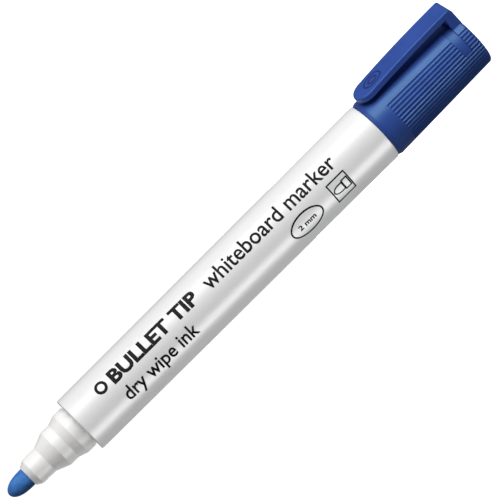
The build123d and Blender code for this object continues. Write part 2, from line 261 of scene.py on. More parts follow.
barrelWhite = mouldedPlastic("satinWhiteBarrel", {
    "shade": (0.83, 0.83, 0.835), "light": (0.87, 0.87, 0.872), "cloudScale": 60, "cloudStretch": (1, 1, 0.2),
    "grainScale": 2600, "grainDepth": 0.05, "roughness": (0.4, 0.46), "specular": 0.5,
    "coat": 0.8, "coatRoughness": 0.36,
})
noseWhite = mouldedPlastic("naturalNose", {
    "shade": (0.9, 0.89, 0.87), "light": (0.95, 0.945, 0.93), "cloudScale": 180,
    "grainScale": 3200, "grainDepth": 0.05, "roughness": (0.34, 0.42), "specular": 0.45,
    "glow": 0.25, "glowRadius": (1.0, 0.95, 0.85), "glowScale": 0.0012,
})
capBlue = mouldedPlastic("satinBlueCap", {
    "shade": (0.026, 0.063, 0.29), "light": (0.031, 0.073, 0.33), "cloudScale": 140,
    "grainScale": 2800, "grainDepth": 0.06, "roughness": (0.34, 0.42), "specular": 0.5,
    "sparkle": (0.5, 0.95, 1.0),
})
# painted shade: this darker blue stands in for the shade that an engraved mark holds
emblemShadeBlue = mouldedPlastic("emblemPaintedShadeBlue", {
    "shade": (0.015, 0.029, 0.16), "light": (0.019, 0.036, 0.19), "cloudScale": 300,
    "grainScale": 3600, "grainDepth": 0.15, "roughness": (0.5, 0.6), "specular": 0.2,
})
plugBlue = mouldedPlastic("satinBluePlug", {
    "shade": (0.026, 0.063, 0.29), "light": (0.031, 0.073, 0.33), "cloudScale": 140,
    "grainScale": 2200, "grainDepth": 0.1, "roughness": (0.38, 0.46), "specular": 0.35,
})
linerBlue = mouldedPlastic("softBlueLiner", {
    "shade": (0.025, 0.061, 0.28), "light": (0.03, 0.071, 0.32), "cloudScale": 160,
    "grainScale": 2400, "grainDepth": 0.12, "roughness": (0.38, 0.46), "specular": 0.45,
    "sparkle": (0.5, 0.95, 1.0),
})
nibFelt = stainedFelt("blueNibFelt", {
    "shade": (0.028, 0.125, 0.42), "light": (0.06, 0.235, 0.62), "fibreScale": 1500,
    "fibreStretch": (1, 1, 0.22), "patchScale": 500, "fibreDepth": 1.0, "roughness": (0.55, 0.78),
    "sheen": 0.15, "specular": 0.3,
})
soakedFibre = stainedFelt("soakedFibre", {
    "shade": (0.02, 0.07, 0.3), "light": (0.05, 0.16, 0.45), "fibreScale": 900, "fibreStretch": (1, 1, 0.1),
    "patchScale": 120, "fibreDepth": 1.0, "roughness": (0.7, 0.85), "sheen": 0.2, "specular": 0.3,
})
wrapFilm = mouldedPlastic("thinFilm", {
    "shade": (0.62, 0.66, 0.72), "light": (0.72, 0.76, 0.8), "cloudScale": 90, "cloudStretch": (1, 1, 0.3),
    "grainScale": 700, "grainDepth": 0.2, "roughness": (0.1, 0.2), "specular": 0.6,
})
printInk = mouldedPlastic("darkPrint", {
    "shade": (0.008, 0.007, 0.008), "light": (0.014, 0.012, 0.013), "cloudScale": 900,
    "grainScale": 5200, "grainDepth": 0.3, "roughness": (0.55, 0.7), "specular": 0.15,
})
print("finishes ready")


def makeBarrel():
    outline = easedOutline([
        (barrel["rearRadius"] - barrel["wall"], barrelRear, barrel["boreRearRound"]),
        (barrel["rearRadius"], barrelRear, barrel["edgeRound"]),
        (barrel["frontRadius"], barrelFront, barrel["edgeRound"]),
        (barrel["frontRadius"] - barrel["wall"], barrelFront, barrel["boreFrontRound"]),
    ])
    return finished(spun("barrelTube", outline, 160), barrelWhite, "body", "barrel_plastic", "barrel")


makeBarrel()


# nose piece: the corners from the tip to the collar are a little rounded, as moulded

nose = {
    "grooveLength": 0.34, "grooveRadius": 5.6, "collarRadius": 5.88, "collarEnd": 2.9, "landRadius": 5.08,
    "landStart": 5.2, "landEnd": 7.7, "neckRadius": 3.67, "neckStart": 11.2, "neckTipRadius": 3.61,
    "neckEnd": 15.2, "tipRadius": 2.72, "boreRadius": 2.48, "boreLead": 0.8, "insertRadius": 6.35,
    "insertLength": 11.0, "skirtWall": 1.1, "skirtTop": 2.5, "throatWall": 0.6, "throatTop": 0.4,
    "stepWall": 1.3, "stepRound": 0.12, "tipRound": 0.1, "collarRound": 0.06,
}


def makeNose():
    z = barrelFront
    ease = nose["stepRound"]
    skirt = nose["insertRadius"] - nose["skirtWall"]
    outline = easedOutline([
        (nose["boreRadius"], noseEnd),
        (nose["tipRadius"], noseEnd, nose["tipRound"]),
        (nose["neckTipRadius"], z + nose["neckEnd"], ease),
        (nose["neckRadius"], z + nose["neckStart"], ease),
        (nose["landRadius"], z + nose["landEnd"], ease),
        (nose["landRadius"], z + nose["landStart"], ease),
        (nose["collarRadius"], z + nose["collarEnd"], ease),
        (nose["collarRadius"], z + nose["grooveLength"], nose["collarRound"]),
        (nose["grooveRadius"], z + nose["grooveLength"]),
        (nose["grooveRadius"], z),
        (nose["insertRadius"], z),
        (nose["insertRadius"], z - nose["insertLength"]),
        (skirt, z - nose["insertLength"]),
        (skirt, z - nose["skirtTop"]),
        (nose["grooveRadius"] - nose["throatWall"], z - nose["throatTop"]),
        (nose["collarRadius"] - nose["stepWall"], z + nose["collarEnd"]),
        (nose["landRadius"] - nose["stepWall"], z + nose["landEnd"]),
        (nose["boreRadius"], z + nose["neckStart"] - nose["boreLead"]),
    ])
    return finished(spun("nosePiece", outline, 144), noseWhite, "body", "nose_plastic", "nib_holder")


makeNose()


nib = {
    "radius": 2.46, "shown": nibTip - noseEnd, "tailRadius": 1.2, "tailTaper": 3.0, "rows": 18,
    "fullness": 2.75,
}


def makeNib():
    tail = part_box("nib")[0].z / mm
    outline = [
        (0, tail),
        (nib["tailRadius"], tail),
        (nib["radius"], tail + nib["tailTaper"]),
        (nib["radius"], noseEnd),
    ]
    for row in range(1, nib["rows"] + 1):
        share = math.sin(math.pi / 2 * row / nib["rows"])  # rows crowd together towards the tip
        radius = nib["radius"] * math.sqrt(1 - share ** nib["fullness"]) if row < nib["rows"] else 0
        outline.append((radius, noseEnd + nib["shown"] * share))
    return finished(spun("feltNib", outline, 72, closed=False), nibFelt, "body", "nib_felt", "nib")


makeNib()
print("barrel, nose and nib made")


# cap shell: a plain skin first, then a node tree sinks the grip grooves into it

ribs = {
    "pitch": 6.78, "smoothHalf": 40.0, "depth": 0.24, "topHeight": 26.5, "fade": 0.55,
    "bottomShare": 0.4, "topShare": 0.94, "flankShares": (0.4, 0.52, 0.67, 0.82, 0.94), "lastStep": 0.4,
    "panelSteps": 20, "plainRows": (2.0, 6.0, 12.0, 20.0), "fadeRows": 4, "rowAbove": 0.6, "innerRing": 5.4,
    "markFrom": 5.2, "markBelow": 30.0, "markDepth": 1.3,
}
lockSlot = {
    "low": 2.85, "high": 5.3, "half": 85.5, "round": 1.05, "room": 0.05, "recess": 0.28,
    "cutInner": 5.6, "cutOuter": 9.4, "lugEdge": 0.08,
}


def skinRadius(height):
    return cap["endRadius"] + (cap["rimRadius"] - cap["endRadius"]) * height / cap["length"]


def ribColumns():
    # columns stand where each groove starts, bottoms out and ends, in degrees from the clip's middle
    grooveCount = int((360 - 2 * ribs["smoothHalf"]) / ribs["pitch"]) + 1
    first = 180 - ribs["pitch"] * (grooveCount - 1) / 2
    flanks = ribs["flankShares"]
    shares = (-1, *(-share for share in reversed(flanks)), 0, *flanks)
    marks = []
    for groove in range(grooveCount):
        middle = first + ribs["pitch"] * groove
        for share in shares if groove else shares[1:]:
            marks.append(middle + share * ribs["pitch"] / 2)
    marks.append(marks[-1] + ribs["lastStep"])
    panel = 360 - (marks[-1] - marks[0])
    panelStart = marks[-1]
    for step in range(1, ribs["panelSteps"]):
        marks.append(panelStart + panel * step / ribs["panelSteps"])
    return [math.radians(mark + cap["facing"]) for mark in marks], first


def groovedSkinTree(first):
    tree = bpy.data.node_groups.new("gripGrooves", "GeometryNodeTree")
    tree.interface.new_socket("Geometry", in_out="INPUT", socket_type="NodeSocketGeometry")
    sockets = {}
    for label, value in (
        ("Pitch", math.radians(ribs["pitch"])), ("First groove", math.radians(first)),
        ("Depth", ribs["depth"] * mm), ("Top height", ribs["topHeight"] * mm), ("Fade", ribs["fade"] * mm),
        ("Groove bottom", ribs["bottomShare"]), ("Ridge top", ribs["topShare"]),
    ):
        socket = tree.interface.new_socket(label, in_out="INPUT", socket_type="NodeSocketFloat")
        socket.default_value = value
        sockets[label] = (socket.identifier, value)
    finish = tree.interface.new_socket("Finish", in_out="INPUT", socket_type="NodeSocketMaterial")
    sockets["Finish"] = (finish.identifier, capBlue)
    tree.interface.new_socket("Geometry", in_out="OUTPUT", socket_type="NodeSocketGeometry")
    nodes, links = tree.nodes, tree.links
    given, result = nodes.new("NodeGroupInput"), nodes.new("NodeGroupOutput")

    def maths(operation, *values):
        node = nodes.new("ShaderNodeMath")
        node.operation = operation
        for index, value in enumerate(values):
            if isinstance(value, (int, float)):
                node.inputs[index].default_value = value
            else:
                links.new(value, node.inputs[index])
        return node.outputs[0]

    def eased(value, low, high):
        node = nodes.new("ShaderNodeMapRange")
        node.interpolation_type = "SMOOTHSTEP"
        links.new(value, node.inputs["Value"])
        for name, edge in (("From Min", low), ("From Max", high)):
            if isinstance(edge, (int, float)):
                node.inputs[name].default_value = edge
            else:
                links.new(edge, node.inputs[name])
        return node.outputs["Result"]

    place = nodes.new("ShaderNodeSeparateXYZ")
    links.new(nodes.new("GeometryNodeInputPosition").outputs[0], place.inputs[0])
    turn = maths("ARCTAN2", place.outputs["X"], maths("MULTIPLY", place.outputs["Y"], -1))  # zero at the clip
    full = maths("FLOORED_MODULO", turn, 2 * math.pi)
    count = maths("DIVIDE", maths("SUBTRACT", full, given.outputs["First groove"]), given.outputs["Pitch"])
    nearest = maths("ROUND", count)
    offCentre = maths("MULTIPLY", maths("ABSOLUTE", maths("SUBTRACT", count, nearest)), 2)
    sunk = maths("SUBTRACT", 1, eased(offCentre, given.outputs["Groove bottom"], given.outputs["Ridge top"]))
    turnCount = maths("DIVIDE", 2 * math.pi, given.outputs["Pitch"])
    panelCount = maths("DIVIDE", maths("MULTIPLY", given.outputs["First groove"], 2), given.outputs["Pitch"])
    lastGroove = maths("ADD", maths("SUBTRACT", turnCount, panelCount), 0.5)
    inside = maths("MULTIPLY", maths("GREATER_THAN", nearest, -0.5), maths("LESS_THAN", nearest, lastGroove))
    fadeStart = maths("SUBTRACT", given.outputs["Top height"], given.outputs["Fade"])
    topFade = maths("SUBTRACT", 1, eased(place.outputs["Z"], fadeStart, given.outputs["Top height"]))
    skin = nodes.new("GeometryNodeInputNamedAttribute")
    skin.data_type = "FLOAT"
    skin.inputs["Name"].default_value = "ribbed"
    allowed = maths("MULTIPLY", topFade, skin.outputs["Attribute"])
    sink = maths("MULTIPLY", maths("MULTIPLY", sunk, inside), allowed)
    depth = maths("MULTIPLY", sink, maths("MULTIPLY", given.outputs["Depth"], -1))
    radial = nodes.new("ShaderNodeCombineXYZ")
    links.new(place.outputs["X"], radial.inputs["X"])
    links.new(place.outputs["Y"], radial.inputs["Y"])
    unit, push = nodes.new("ShaderNodeVectorMath"), nodes.new("ShaderNodeVectorMath")
    unit.operation, push.operation = "NORMALIZE", "SCALE"
    links.new(radial.outputs[0], unit.inputs[0])
    links.new(unit.outputs[0], push.inputs[0])
    links.new(depth, push.inputs["Scale"])
    move, plain, coat = (nodes.new(kind) for kind in (
        "GeometryNodeSetPosition", "GeometryNodeRealizeInstances", "GeometryNodeSetMaterial"))
    links.new(given.outputs["Geometry"], move.inputs["Geometry"])
    links.new(push.outputs[0], move.inputs["Offset"])
    links.new(move.outputs[0], plain.inputs[0])
    links.new(plain.outputs[0], coat.inputs["Geometry"])
    links.new(given.outputs["Finish"], coat.inputs["Material"])
    links.new(coat.outputs[0], result.inputs[0])
    return tree, sockets


def ringSegment(name, inner, outer, low, high, half, ease, steps=90, easeSteps=6):
    # a curved slab centred on the clip's side with rounded ends; outer may be a function of the height
    reach = math.radians(half)
    middle, halfTall = (low + high) / 2, (high - low) / 2
    easeTurn = ease / cap["endRadius"]
    columns = []
    for step in range(easeSteps + 1):
        lean = math.pi / 2 * step / easeSteps
        columns.append((-reach + easeTurn * (1 - math.sin(lean)), halfTall - ease + ease * math.cos(lean)))
    for step in range(1, steps):
        columns.append((-reach + easeTurn + 2 * (reach - easeTurn) * step / steps, halfTall))
    for step in range(easeSteps + 1):
        lean = math.pi / 2 * (1 - step / easeSteps)
        columns.append((reach - easeTurn * (1 - math.cos(lean)), halfTall - ease + ease * math.sin(lean)))
    work = bmesh.new()
    sections = []
    for turn, halfHeight in columns:
        angle = turn + math.radians(cap["facing"])
        section = []
        for height in (middle - halfHeight, middle, middle + halfHeight):
            outerHere = outer(height) if callable(outer) else outer
            for radius in (inner, outerHere):
                point = Vector((radius * math.cos(angle), radius * math.sin(angle), height)) * mm
                section.append(work.verts.new(point))
        sections.append(section)
    # section order: low inner, low outer, mid inner, mid outer, high inner, high outer
    ring = (0, 1, 3, 5, 4, 2)
    for first, second in zip(sections, sections[1:]):
        for here, there in zip(ring, ring[1:] + ring[:1]):
            work.faces.new((first[here], first[there], second[there], second[here]))
    for section in (sections[0], sections[-1]):
        work.faces.new([section[index] for index in ring])
    bmesh.ops.recalc_face_normals(work, faces=work.faces)
    mesh = bpy.data.meshes.new(name)
    work.to_mesh(mesh)
    work.free()
    return putInScene(name, mesh)


def capOutline():
    # the shell's outline, and a mark of 1 on each of its points that the grooves may sink
    length, wall = cap["length"], cap["wall"]
    lipLow = length - cap["lipHeight"]
    plain = easedOutline([
        (0, 0),
        (cap["endRadius"], 0, cap["endRound"]),
        (skinRadius(lipLow), lipLow, cap["lipRound"]),
        (cap["rimRadius"] - cap["lipInset"], length, cap["rimRound"]),
        (skinRadius(length) - wall, length, cap["rimRound"]),
        (cap["endRadius"] - wall, cap["endWall"]),
        (0, cap["endWall"]),
    ], segments=6)
    fadeShares = [1 - row / ribs["fadeRows"] for row in range(ribs["fadeRows"] + 1)]
    rows = [*ribs["plainRows"], *(ribs["topHeight"] - ribs["fade"] * share for share in fadeShares)]
    rows.append(ribs["topHeight"] + ribs["rowAbove"])
    outline, marks = [], []
    for index, (radius, height) in enumerate(plain):
        inReach = radius > ribs["markFrom"] and height < ribs["markBelow"]
        outline.append((radius, height))
        marks.append(1.0 if inReach and radius > skinRadius(height) - ribs["markDepth"] else 0.0)
        if index == 0:
            outline.append((ribs["innerRing"], 0))
            marks.append(0.0)
        following = plain[index + 1] if index + 1 < len(plain) else (0, 0)
        if marks[-1] and following[1] - height > length / 2:  # the long straight wall takes the rows
            outline.extend((skinRadius(row), row) for row in rows)
            marks.extend([1.0] * len(rows))
    return outline, marks


def makeCapShell():
    outline, marks = capOutline()
    angles, first = ribColumns()
    shell = spun("capShell", outline, angles=angles, closed=False, marks=marks)
    tree, sockets = groovedSkinTree(first)
    grooving = shell.modifiers.new("gripGrooves", "NODES")
    grooving.node_group = tree
    for identifier, value in sockets.values():
        grooving[identifier] = value
    baked(shell)
    cutter = ringSegment(
        "slotCutter", lockSlot["cutInner"], lockSlot["cutOuter"], lockSlot["low"], lockSlot["high"],
        lockSlot["half"], lockSlot["round"],
    )
    cut = shell.modifiers.new("lockSlot", "BOOLEAN")
    cut.operation, cut.solver, cut.use_self, cut.object = "DIFFERENCE", "EXACT", True, cutter
    baked(shell)
    bpy.data.objects.remove(cutter)
    softened(shell, 40)
    return finished(shell, capBlue, "cap", "cap_plastic", "cap_shell")


makeCapShell()
print("cap shell made, with its grooves and slot")


# inner cap: the seal cup, and the lug that locks in the slot

sealCup = {
    "baseLow": 1.32, "baseRadius": 6.28, "ringWall": 0.95, "floor": 8.2, "floorWall": 0.8, "cupRadius": 3.85,
    "wall": 0.6, "lipRadius": 5.09, "coneLow": 18.6, "coneHigh": 20.6, "lipTop": 25.5,
    "lipRound": 0.2, "coneRound": 0.4, "floorRound": 0.5,
}


def makeSealCup():
    s = sealCup
    outline = easedOutline([
        (0, s["floor"] - s["floorWall"]),
        (s["baseRadius"] - s["ringWall"], s["floor"] - s["floorWall"]),
        (s["baseRadius"] - s["ringWall"], s["baseLow"]),
        (s["baseRadius"], s["baseLow"]),
        (s["baseRadius"], s["floor"], s["lipRound"]),
        (s["cupRadius"] + s["wall"], s["floor"]),
        (s["cupRadius"] + s["wall"], s["coneLow"], s["coneRound"]),
        (s["lipRadius"] + s["wall"], s["coneHigh"], s["coneRound"]),
        (s["lipRadius"] + s["wall"], s["lipTop"], s["lipRound"]),
        (s["lipRadius"], s["lipTop"], s["lipRound"]),
        (s["lipRadius"], s["coneHigh"], s["coneRound"]),
        (s["cupRadius"], s["coneLow"], s["coneRound"]),
        (s["cupRadius"], s["floor"], s["floorRound"]),
        (0, s["floor"]),
    ])
    finished(spun("sealCup", outline, 96, closed=False), linerBlue, "cap", "inner_cap_plastic", "inner_cap")
    room = lockSlot["room"]
    half = lockSlot["half"] - math.degrees(room / cap["endRadius"])
    lug = ringSegment(
        "lockLug", s["baseRadius"] - s["ringWall"] / 2,
        lambda height: skinRadius(height) - lockSlot["recess"],
        lockSlot["low"] + room, lockSlot["high"] - room, half, lockSlot["round"],
    )
    edge = lug.modifiers.new("softEdge", "BEVEL")
    edge.width, edge.segments = lockSlot["lugEdge"] * mm, 2
    edge.limit_method, edge.angle_limit = "ANGLE", math.radians(40)
    baked(lug)
    softened(lug, 40)
    return finished(lug, linerBlue, "cap", "inner_cap_plastic", "inner_cap")


makeSealCup()


# pocket clip: a flat arm with a round free end on a short foot

clip = {
    "halfWidth": 3.05, "thickness": 1.7, "footLength": 2.85, "tip": 30.35, "rootHeight": 11.83,
    "tipHeight": 10.68, "crown": 0.3, "endLean": 0.32, "tipShare": 1.15, "footDepth": 6.7, "edge": 0.3,
    "rootEdge": 1.25, "innerEdge": 0.5, "armRows": 8, "tipSteps": 24, "bumpRadius": 2.2, "bumpGap": 0.3,
    "bumpSunk": 0.4,
}


def clipHeight(height):
    # from root to tip with a slight crown between them, and flat in the round end
    along = min(1.0, height / (clip["tip"] - clip["halfWidth"] * clip["tipShare"]))
    straight = clip["rootHeight"] + (clip["tipHeight"] - clip["rootHeight"]) * height / clip["tip"]
    return straight + 4 * clip["crown"] * along * (1 - along)


def makeClip():
    # rows across the straight arm, then one round face at the tip
    half, tip = clip["halfWidth"], clip["tip"]
    narrow = tip - half * clip["tipShare"]
    heights = [clip["endLean"]]  # the closed end leans in a little towards the outer face
    for step in range(clip["armRows"] + 1):
        heights.append(clip["footLength"] + (narrow - clip["footLength"]) * step / clip["armRows"])
    turns = [math.pi * step / clip["tipSteps"] for step in range(1, clip["tipSteps"])]
    work = bmesh.new()

    def point(x, z, depth):
        return work.verts.new((x * mm, -(clipHeight(z) - depth) * mm, z * mm))

    def layer(depth):
        rows = [(point(half, z, depth), point(-half, z, depth)) for z in heights[1 if depth else 0:]]
        end = [
            point(half * math.cos(turn), narrow + (tip - narrow) * math.sin(turn), depth) for turn in turns
        ]
        for here, there in zip(rows, rows[1:]):
            work.faces.new((here[0], there[0], there[1], here[1]))
        work.faces.new((rows[-1][0], *end, rows[-1][1]))
        return rows, end

    (topRows, topEnd), (lowRows, lowEnd) = layer(0), layer(clip["thickness"])
    footHigh, footLow = (
        [work.verts.new((x * mm, -clip["footDepth"] * mm, z * mm)) for x in (half, -half)]
        for z in (clip["footLength"], 0)
    )
    topRim = [row[0] for row in topRows[1:]] + topEnd + [row[1] for row in reversed(topRows[1:])]
    lowRim = [row[0] for row in lowRows] + lowEnd + [row[1] for row in reversed(lowRows)]
    for index in range(len(topRim) - 1):
        work.faces.new((topRim[index], topRim[index + 1], lowRim[index + 1], lowRim[index]))
    for side in (0, 1):
        work.faces.new((topRows[0][side], topRows[1][side], lowRows[0][side], footHigh[side], footLow[side]))
    work.faces.new((lowRows[0][0], lowRows[0][1], footHigh[1], footHigh[0]))
    work.faces.new((topRows[0][0], topRows[0][1], footLow[1], footLow[0]))
    work.faces.new((footLow[0], footLow[1], footHigh[1], footHigh[0]))
    bmesh.ops.recalc_face_normals(work, faces=work.faces)
    weights = work.edges.layers.float.new("bevel_weight_edge")
    rootPair, innerPair = set(topRows[0]), set(lowRows[0])
    hidden = set(footLow) | set(footHigh)
    for edge in work.edges:
        ends = set(edge.verts)
        if ends == rootPair:
            edge[weights] = 1.0
        elif ends == innerPair:
            edge[weights] = clip["innerEdge"] / clip["rootEdge"]
        elif edge.calc_face_angle(0) > math.radians(40) and not ends <= hidden:
            edge[weights] = clip["edge"] / clip["rootEdge"]
    mesh = bpy.data.meshes.new("pocketClip")
    work.to_mesh(mesh)
    work.free()
    arm = putInScene("pocketClip", mesh)
    soft = arm.modifiers.new("softEdges", "BEVEL")
    soft.width, soft.segments, soft.limit_method = clip["rootEdge"] * mm, 4, "WEIGHT"
    soft.harden_normals, soft.use_clamp_overlap = True, False
    softened(arm, 40)
    baked(arm)
    return arm


def makeClipPieces():
    arm = makeClip()
    bumpHeight = clip["tip"] - clip["halfWidth"]
    under = clipHeight(bumpHeight) - clip["thickness"]
    drop = under - skinRadius(bumpHeight) - clip["bumpGap"]
    work = bmesh.new()
    bmesh.ops.create_uvsphere(work, u_segments=40, v_segments=24, radius=clip["bumpRadius"] * mm)
    centre = Vector((0, -(under - drop + clip["bumpRadius"]) * mm, bumpHeight * mm))
    bmesh.ops.translate(work, verts=work.verts, vec=centre)
    bmesh.ops.bisect_plane(
        work, geom=work.verts[:] + work.edges[:] + work.faces[:], dist=1e-7,
        plane_co=(0, -(under + clip["bumpSunk"]) * mm, bumpHeight * mm), plane_no=(0, -1, 0),
        clear_outer=True,
    )
    bmesh.ops.holes_fill(work, edges=[edge for edge in work.edges if edge.is_boundary], sides=0)
    bmesh.ops.recalc_face_normals(work, faces=work.faces)
    mesh = bpy.data.meshes.new("gripBump")
    work.to_mesh(mesh)
    work.free()
    bump = softened(putInScene("gripBump", mesh), 50)
    finished(bump, capBlue, "clip", "cap_plastic", "pocket_clip")
    finished(arm, capBlue, "clip", "cap_plastic", "pocket_clip")


makeClipPieces()

emblem = {
    "height": 24.35, "halfLong": 2.8, "halfWide": 1.8, "line": 0.46, "proud": 0.12, "innerShare": 0.52,
    "steps": 64,
    # inset as a share of the line, lift as a share of how proud it stands
    "section": ((0, -0.05), (0, 0.5), (0.25, 1), (0.75, 1), (1, 0.5), (1, -0.05)),
}


def makeEmblem():
    # a plain raised oval ring, with a smaller one inside it; its darker blue is painted shade, as of an
    # engraved mark
    work = bmesh.new()
    for share in (1.0, emblem["innerShare"]):
        rings = []
        for step in range(emblem["steps"]):
            turn = 2 * math.pi * step / emblem["steps"]
            section = []
            for inset, lift in emblem["section"]:
                wide = emblem["halfWide"] * share - inset * emblem["line"]
                long = emblem["halfLong"] * share - inset * emblem["line"]
                x, z = wide * math.cos(turn), emblem["height"] + long * math.sin(turn)
                out = clipHeight(z) + lift * emblem["proud"]
                section.append(work.verts.new((x * mm, -out * mm, z * mm)))
            rings.append(section)
        for index, section in enumerate(rings):
            following = rings[(index + 1) % emblem["steps"]]
            for here in range(len(section)):
                there = (here + 1) % len(section)
                work.faces.new((section[here], section[there], following[there], following[here]))
    bmesh.ops.recalc_face_normals(work, faces=work.faces)
    mesh = bpy.data.meshes.new("ovalEmblem")
    work.to_mesh(mesh)
    work.free()
    finished(softened(putInScene("ovalEmblem", mesh), 60), emblemShadeBlue, "clip", "cap_plastic")


makeEmblem()
print("inner cap, clip and emblem made")


# end plug, seen when the cap is pulled off

plug = {
    "insertRadius": 6.74, "insertLength": 6.0, "flangeRadius": 6.85, "flange": 0.7, "collarRadius": 5.83,
    "collarLength": 4.8, "stubRadius": 5.02, "wall": 1.0, "endRound": 0.8, "coneLength": 1.0,
    "stepRound": 0.3, "flangeRound": 0.15, "boreLead": 0.5,
}


def makePlug():
    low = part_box("end_plug")[0].z / mm
    step = barrelRear - plug["collarLength"]
    flange = barrelRear - plug["flange"]
    inner = plug["stubRadius"] - plug["wall"]
    outline = easedOutline([
        (0, low),
        (plug["stubRadius"], low, plug["endRound"]),
        (plug["stubRadius"], step - plug["coneLength"], plug["stepRound"]),
        (plug["collarRadius"], step, plug["stepRound"]),
        (plug["collarRadius"], flange),
        (plug["flangeRadius"], flange, plug["flangeRound"]),
        (plug["flangeRadius"], barrelRear),
        (plug["insertRadius"], barrelRear),
        (plug["insertRadius"], barrelRear + plug["insertLength"]),
        (plug["insertRadius"] - plug["wall"], barrelRear + plug["insertLength"]),
        (plug["insertRadius"] - plug["wall"], barrelRear + plug["boreLead"]),
        (inner, step),
        (inner, low + plug["wall"]),
        (0, low + plug["wall"]),
    ])
    return finished(spun("endPlug", outline, 96, closed=False), plugBlue, "body", "plug_plastic", "end_plug")


makePlug()

for node, material in (("ink_reservoir", soakedFibre), ("reservoir_wrap", wrapFilm)):
    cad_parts[node].data.materials.clear()
    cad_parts[node].data.materials.append(material)


# print on the barrel: plain words, an oval with the line width, and a small picture of the nib

printing = {
    "facing": -145.0, "thickness": 0.02, "sunk": 0.02, "strip": 0.35, "flatHalf": 0.01,
    "words": (
        # text, start from the front in mm, end, base line and cap height round the barrel in mm, boldness
        ("BULLET TIP", 12.2, 39.7, 0.99, 3.43, 0.04),
        ("whiteboard marker", 42.7, 84.1, 0.76, 3.93, 0.012),
        ("dry wipe ink", 12.1, 34.7, -4.5, 3.55, 0.014),
        ("2 mm", 67.3, 72.5, -4.6, 1.3, 0.03),
    ),
}


def barrelRadius(height):
    share = (height - barrelRear) / (barrelFront - barrelRear)
    return barrel["rearRadius"] + (barrel["frontRadius"] - barrel["rearRadius"]) * share


def wrapped(work):
    # lays flat artwork on the barrel, in mm: x runs from the front face towards the cap, y round the barrel
    low = min(vert.co.y for vert in work.verts)
    high = max(vert.co.y for vert in work.verts)
    cuts = int((high - low) / printing["strip"])
    for cut in range(1, cuts + 1):
        level = low + (high - low) * cut / (cuts + 1)
        bmesh.ops.bisect_plane(
            work, geom=work.verts[:] + work.edges[:] + work.faces[:], dist=1e-6,
            plane_co=(0, level, 0), plane_no=(0, 1, 0),
        )
    for vert in work.verts:
        height = barrelFront - vert.co.x
        radius = barrelRadius(height)
        turn = math.radians(printing["facing"]) + vert.co.y / radius
        radius += printing["thickness"] if vert.co.z > 0 else -printing["sunk"]
        vert.co = Vector((radius * math.cos(turn) * mm, radius * math.sin(turn) * mm, height * mm))
    bmesh.ops.remove_doubles(work, verts=work.verts, dist=1e-8)
    bmesh.ops.recalc_face_normals(work, faces=work.faces)


def makeWords():
    for index, (text, start, end, base, capHeight, bold) in enumerate(printing["words"]):
        curve = bpy.data.curves.new(f"words{index}", "FONT")
        curve.body, curve.offset = text, bold
        curve.resolution_u, curve.extrude = 3, printing["flatHalf"]
        flat = putInScene(f"words{index}", curve)
        graph = bpy.context.evaluated_depsgraph_get()
        work = bmesh.new()
        work.from_mesh(bpy.data.meshes.new_from_object(flat.evaluated_get(graph)))
        bpy.data.objects.remove(flat)
        bmesh.ops.remove_doubles(work, verts=work.verts, dist=1e-5)
        left = min(vert.co.x for vert in work.verts)
        right = max(vert.co.x for vert in work.verts)
        top = max(vert.co.y for vert in work.verts)
        for vert in work.verts:
            vert.co.x = start + (vert.co.x - left) * (end - start) / (right - left)
            vert.co.y = base + vert.co.y * capHeight / top
        wrapped(work)
        mesh = bpy.data.meshes.new(f"printWords{index}")
        work.to_mesh(mesh)
        work.free()
        finished(putInScene(f"printWords{index}", mesh), printInk, "body", "barrel_plastic")


def flatBand(work, outer, inner):
    # a flat closed ring between two loops of the same length, with a little thickness
    halves = (-printing["flatHalf"], printing["flatHalf"])
    outLow, outHigh = ([work.verts.new((x, y, z)) for x, y in outer] for z in halves)
    inLow, inHigh = ([work.verts.new((x, y, z)) for x, y in inner] for z in halves)
    count = len(outer)
    for index in range(count):
        after = (index + 1) % count
        work.faces.new((outHigh[index], outHigh[after], inHigh[after], inHigh[index]))
        work.faces.new((outLow[index], inLow[index], inLow[after], outLow[after]))
        work.faces.new((outLow[index], outLow[after], outHigh[after], outHigh[index]))
        work.faces.new((inLow[index], inHigh[index], inHigh[after], inLow[after]))


def ovalLoop(x, y, halfLong, halfWide, steps=64):
    turns = [2 * math.pi * step / steps for step in range(steps)]
    return [(x + halfLong * math.cos(turn), y + halfWide * math.sin(turn)) for turn in turns]


signs = {
    "oval": {"x": 69.9, "y": -4.0, "halfLong": 4.95, "halfWide": 2.8, "line": 0.42},
    "ring": {"x": 9.35, "y": 2.7, "radius": 1.6, "line": 0.7},
    "frame": {"x": 81.25, "y": -3.8, "half": 2.85, "line": 0.34},
    "tip": {"back": 0.7, "length": 3.1, "half": 1.1, "line": 0.32, "roundShare": 0.62, "steps": 16},
    "holder": {"front": 0.55, "back": 2.45, "half": 1.4, "line": 0.32},
}


def rectLoop(left, low, right, high, inset=0.0):
    left, low, right, high = left + inset, low + inset, right - inset, high - inset
    return [(left, low), (right, low), (right, high), (left, high)]


def bulletLoop(x, y, look, inset=0.0):
    # straight back and sides, and a round point towards the nib end
    half, back = look["half"] - inset, x + look["back"] - inset
    reach = look["length"] * look["roundShare"] - inset
    shoulder = x + look["back"] - look["length"] * (1 - look["roundShare"])
    loop = [(back, y - half), (back, y + half), (shoulder, y + half)]
    for step in range(1, look["steps"]):
        turn = math.pi * step / look["steps"]
        loop.append((shoulder - reach * math.sin(turn), y + half * math.cos(turn)))
    return loop + [(shoulder, y - half)]


